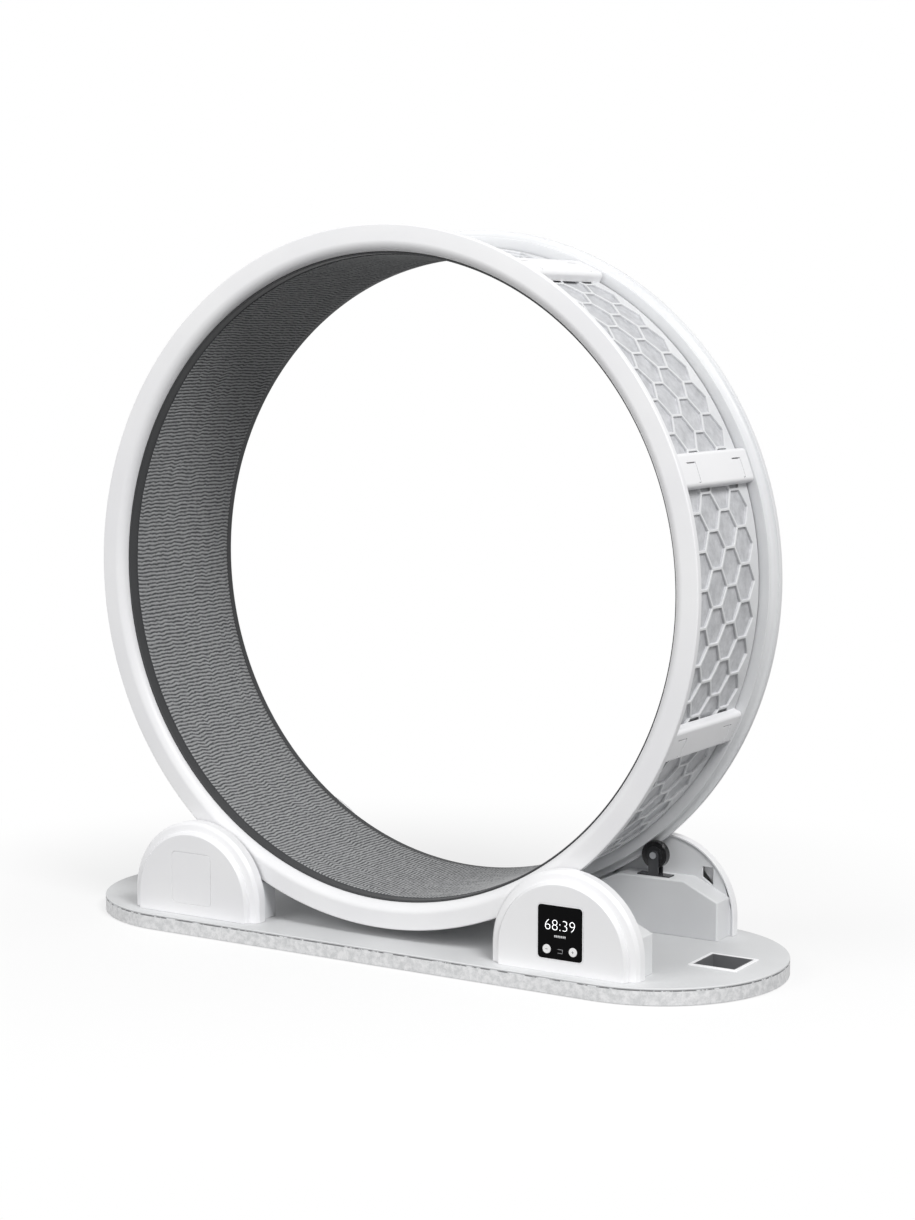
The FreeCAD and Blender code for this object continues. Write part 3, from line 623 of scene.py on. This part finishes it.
# %% Edge trims
TRIM_THICKNESS = 3 * MM
INNER_SHOULDER = 0.8 * MM
OUTER_SHOULDER = 1.6 * MM
for node, sy in (("edge_trim_front", -1), ("edge_trim_rear", 1)):
    low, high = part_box(node)
    inner, outer = min(abs(low.y), abs(high.y)), max(abs(low.y), abs(high.y))
    top = BORE_RADIUS - TRIM_THICKNESS
    profile = [(top, sy * inner), (BORE_RADIUS, sy * inner), (BORE_RADIUS, sy * outer),
               (top, sy * outer)]
    trim = soften(spun(node + "_finished", profile, {0: INNER_SHOULDER, 3: OUTER_SHOULDER}), 0)
    finish_piece(trim, "drum", TRIM_RUBBER, [node])

# %% [markdown]
# ## Display
#
# The display is a black acrylic window in a thin white frame, and two white keys stand
# through holes in the window. Board, battery and sensor sit inside the support, and a blank
# plate closes the same bay of the other front support. The board's edges stay sharp.

# %% Display housing
GLASS = moulded("black gloss acrylic", "#050506", "#040405", 4.0, 0.1, bump_mm=0.0, specular=0.06)
KEY = moulded("white moulded silicone key", "#F4F4F4", "#EAEAEA", 1.0, 0.4)
# node, material, slot, rounding in mm
DISPLAY_PIECES = (
    ("display_frame", COVER_ABS, "white_plastic", 0.25),
    ("display_glass", GLASS, "black_gloss", 0.2),
    ("display_button_left", KEY, "white_plastic", 0.4),
    ("display_button_right", KEY, "white_plastic", 0.4),
    ("display_board", BOARD, "circuit", 0),
    ("battery_pack", CHARCOAL_ABS, "dark_plastic", 0.2),
    ("pass_sensor", CHARCOAL_ABS, "dark_plastic", 0.2),
    ("blank_plate", COVER_ABS, "white_plastic", 0.35),
)
for node, material, slot_name, rounding in DISPLAY_PIECES:
    dressed(node, material, rounding * MM)

# %% [markdown]
# ## Numbers
#
# A text curve is the quickest way to numbers. Its outline is pulled in a little to thin the
# strokes, it is given a thickness and a place on the glass, and then it is turned into a
# mesh. The mesh glows like the LED segments that would shine through the window.

# %% Numbers
def led_material():
    made, tree, shader, place = new_material("white LED segment")
    glow = add(tree, "TexNoise", links={"Vector": place}, Scale=900.0)
    ramp = add(tree, "ValToRGB", links={"Fac": glow.outputs["Fac"]})
    ramp.color_ramp.elements[0].color = linear("#E8ECEE")
    ramp.color_ramp.elements[1].color = linear("#FFFFFF")
    tree.links.new(ramp.outputs["Color"], shader.inputs["Base Color"])
    tree.links.new(ramp.outputs["Color"], shader.inputs["Emission Color"])
    shader.inputs["Emission Strength"].default_value = 0.9
    return made


LED = led_material()
NUMBERS = "68:39"
NUMBER_HEIGHT = 15.5 * MM
NUMBERS_DOWN = 27.6 * MM
DIGIT_SHARE = 0.7         # of the font's size that a digit is tall
STROKE_THINNED = 0.55 * MM
MARK_DEPTH = 0.1 * MM
glass_low, glass_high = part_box("display_glass")


def lit_text(name, words, height, x, z):
    """Flat lettering on the glass, facing the front, centred at x and z."""
    curve = bpy.data.curves.new(name, "FONT")
    curve.body = words
    curve.align_x = "CENTER"
    curve.align_y = "CENTER"
    curve.size = height / DIGIT_SHARE
    curve.extrude = MARK_DEPTH / 2
    curve.offset = -STROKE_THINNED
    shown = bpy.data.objects.new(name + "_curve", curve)
    bpy.context.scene.collection.objects.link(shown)
    shown.location = (x, glass_low.y - MARK_DEPTH / 2, z)
    shown.rotation_euler = (math.pi / 2, 0, 0)
    bpy.context.view_layer.update()
    mesh = bpy.data.meshes.new_from_object(shown)
    mesh.transform(shown.matrix_world)
    made = bpy.data.objects.new(name, mesh)
    bpy.context.scene.collection.objects.link(made)
    bpy.data.objects.remove(shown)
    return made


middle_x = (glass_low.x + glass_high.x) / 2
numbers = lit_text("display_numbers", NUMBERS, NUMBER_HEIGHT, middle_x, glass_high.z - NUMBERS_DOWN)
finish_piece(numbers, "base", LED)


# %% [markdown]
# ## Marks under the numbers and on the keys
#
# A row of seven bars, a hook and two signs are printed in grey. They are flat boxes on the
# glass and on the keys. Each sign rides with its key, so it sinks when the key is pressed.

# %% Marks under the numbers and on the keys
def strokes(name, boxes, front_y):
    """Flat strokes on a front face; each box is its middle x and z, its width and its height."""
    bm = bmesh.new()
    for x, z, wide, high in boxes:
        made = bmesh.ops.create_cube(bm, size=1.0)["verts"]
        bmesh.ops.scale(bm, vec=(wide, MARK_DEPTH, high), verts=made)
        bmesh.ops.translate(bm, vec=(x, front_y - MARK_DEPTH / 2, z), verts=made)
    return to_object(name, bm)


PRINT_GREY = moulded("grey pad-printed ink", "#8C8D8F", "#808183", 1.0, 0.6)
PRINT_PALE = moulded("pale grey pad-printed ink", "#D6D7D8", "#CCCDCE", 1.0, 0.6)

BARS_EACH_SIDE = 3
BAR_PITCH = 2.6 * MM
BAR_WIDE, BAR_HIGH = 1.9 * MM, 3.1 * MM
BARS_DOWN = 42.4 * MM
bars_z = glass_high.z - BARS_DOWN
bars = [(middle_x + k * BAR_PITCH, bars_z, BAR_WIDE, BAR_HIGH)
        for k in range(-BARS_EACH_SIDE, BARS_EACH_SIDE + 1)]
finish_piece(strokes("display_strip", bars, glass_low.y), "base", PRINT_PALE)

HOOK_LENGTH = 7 * MM
HOOK_HALF = 2.6 * MM
HOOK_LINE = 0.9 * MM
HOOK_DOWN = 62.5 * MM
hook_z = glass_high.z - HOOK_DOWN
hook = [(middle_x, hook_z + HOOK_HALF, HOOK_LENGTH, HOOK_LINE),
        (middle_x, hook_z - HOOK_HALF, HOOK_LENGTH, HOOK_LINE),
        (middle_x + (HOOK_LENGTH + HOOK_LINE) / 2, hook_z, HOOK_LINE, 2 * HOOK_HALF + HOOK_LINE)]
finish_piece(strokes("display_hook_mark", hook, glass_low.y), "base", PRINT_GREY)

SIGN_LENGTH = 3.6 * MM
SIGN_LINE = 0.8 * MM
sign_arm = (SIGN_LENGTH - SIGN_LINE) / 2
for side in ("left", "right"):
    key_low, key_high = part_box("display_button_" + side)
    key_x, key_z = (key_low.x + key_high.x) / 2, (key_low.z + key_high.z) / 2
    mark = [(key_x, key_z, SIGN_LENGTH, SIGN_LINE)]
    if side == "right":
        out = (SIGN_LINE + sign_arm) / 2
        mark += [(key_x, key_z + up * out, SIGN_LINE, sign_arm) for up in (1, -1)]
    sign = strokes("key_sign_" + side, mark, key_low.y)
    finish_piece(sign, nodes["display_button_" + side]["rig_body"], PRINT_GREY)

# %% [markdown]
# ## Floor and light
#
# The wheel stands in a white studio: a pale floor that ends beyond the picture, a white
# world, a soft key lamp high at the front right and a large weak one at the front left.

# %% Floor
FLOOR_HALF = 30.0
FADE_FROM = 0.5
FADE_TO = 1.15
SHADE_KEPT = 0.3


def white_seen(tree):
    """1 for what the camera, a mirror or a window sees, 0 for light that lights the object."""
    path = add(tree, "LightPath")
    seen = add(tree, "Math", {"operation": "MAXIMUM"},
               {"0": path.outputs["Is Camera Ray"], "1": path.outputs["Is Glossy Ray"]})
    return add(tree, "Math", {"operation": "MAXIMUM"},
               {"0": seen.outputs["Value"], "1": path.outputs["Is Transmission Ray"]}).outputs["Value"]


def floor_material():
    made, tree, shader, place = new_material("white studio floor")
    seen = white_seen(tree)
    speck = add(tree, "TexNoise", links={"Vector": place}, Scale=3.0)
    ramp = add(tree, "ValToRGB", links={"Fac": speck.outputs["Fac"]})
    ramp.color_ramp.elements[0].color = linear("#F4F4F4")
    ramp.color_ramp.elements[1].color = linear("#F6F6F6")
    dull = add(tree, "Mix", {"data_type": "RGBA"}, {"0": seen, "7": ramp.outputs["Color"]})
    dull.inputs[6].default_value = linear("#7C7C7C")
    tree.links.new(dull.outputs[2], shader.inputs["Base Color"])
    shader.inputs["Roughness"].default_value = 0.9
    shader.inputs["Specular IOR Level"].default_value = 0.1
    # the shadow stays near the object and fades to plain white farther out
    away = add(tree, "VectorMath", {"operation": "LENGTH"}, {"0": place})
    fade = add(tree, "MapRange", {"interpolation_type": "SMOOTHSTEP"}, {"0": away.outputs["Value"]},
               From_Min=FADE_FROM, From_Max=FADE_TO, To_Min=1 - SHADE_KEPT)
    part = add(tree, "Math", {"operation": "MULTIPLY"}, {"0": seen, "1": fade.outputs["Result"]})
    white = add(tree, "Emission", Strength=1.0, Color=linear("#FFFFFF"))
    both = add(tree, "MixShader", links={"0": part.outputs["Value"], "1": shader.outputs["BSDF"],
                                         "2": white.outputs["Emission"]})
    output = next(n for n in tree.nodes if n.bl_idname == "ShaderNodeOutputMaterial")
    tree.links.new(both.outputs["Shader"], output.inputs["Surface"])
    return made


bm = bmesh.new()
bmesh.ops.create_grid(bm, x_segments=1, y_segments=1, size=FLOOR_HALF)
floor = to_object("floor", bm)
floor.data.materials.append(floor_material())


# %% [markdown]
# ## World and lamps
#
# The world gives weak light from all round, so that no shadow is black. The key lamp makes
# the shapes, and the larger fill lamp lifts the faces that look to the front.

# %% World and lamps
LAMP_AIM = (0, 0, 0.5)


def white_world():
    """Pale light all round; what the camera and reflections see of it is plain white."""
    world = bpy.data.worlds.new("studio")
    world.use_nodes = True
    tree = world.node_tree
    tree.nodes.clear()
    light = add(tree, "Background", Strength=0.42, Color=linear("#FFFFFF"))
    back = add(tree, "Background", Strength=1.0, Color=linear("#FFFFFF"))
    mixed = add(tree, "MixShader", links={"0": white_seen(tree),
                                          "1": light.outputs["Background"],
                                          "2": back.outputs["Background"]})
    add(tree, "OutputWorld", links={"Surface": mixed.outputs["Shader"]})
    bpy.context.scene.world = world


def lamp(name, place, size, power):
    """A square area lamp that points at the wheel."""
    data = bpy.data.lights.new(name, "AREA")
    data.size = size
    data.energy = power
    made = bpy.data.objects.new(name, data)
    bpy.context.scene.collection.objects.link(made)
    made.location = place
    made.rotation_euler = (Vector(LAMP_AIM) - Vector(place)).to_track_quat("-Z", "Y").to_euler()


white_world()
lamp("key", (3.07, -1.82, 3.72), size=1.5, power=160)
lamp("fill", (-1.75, -4.25, 2.45), size=3.0, power=99)
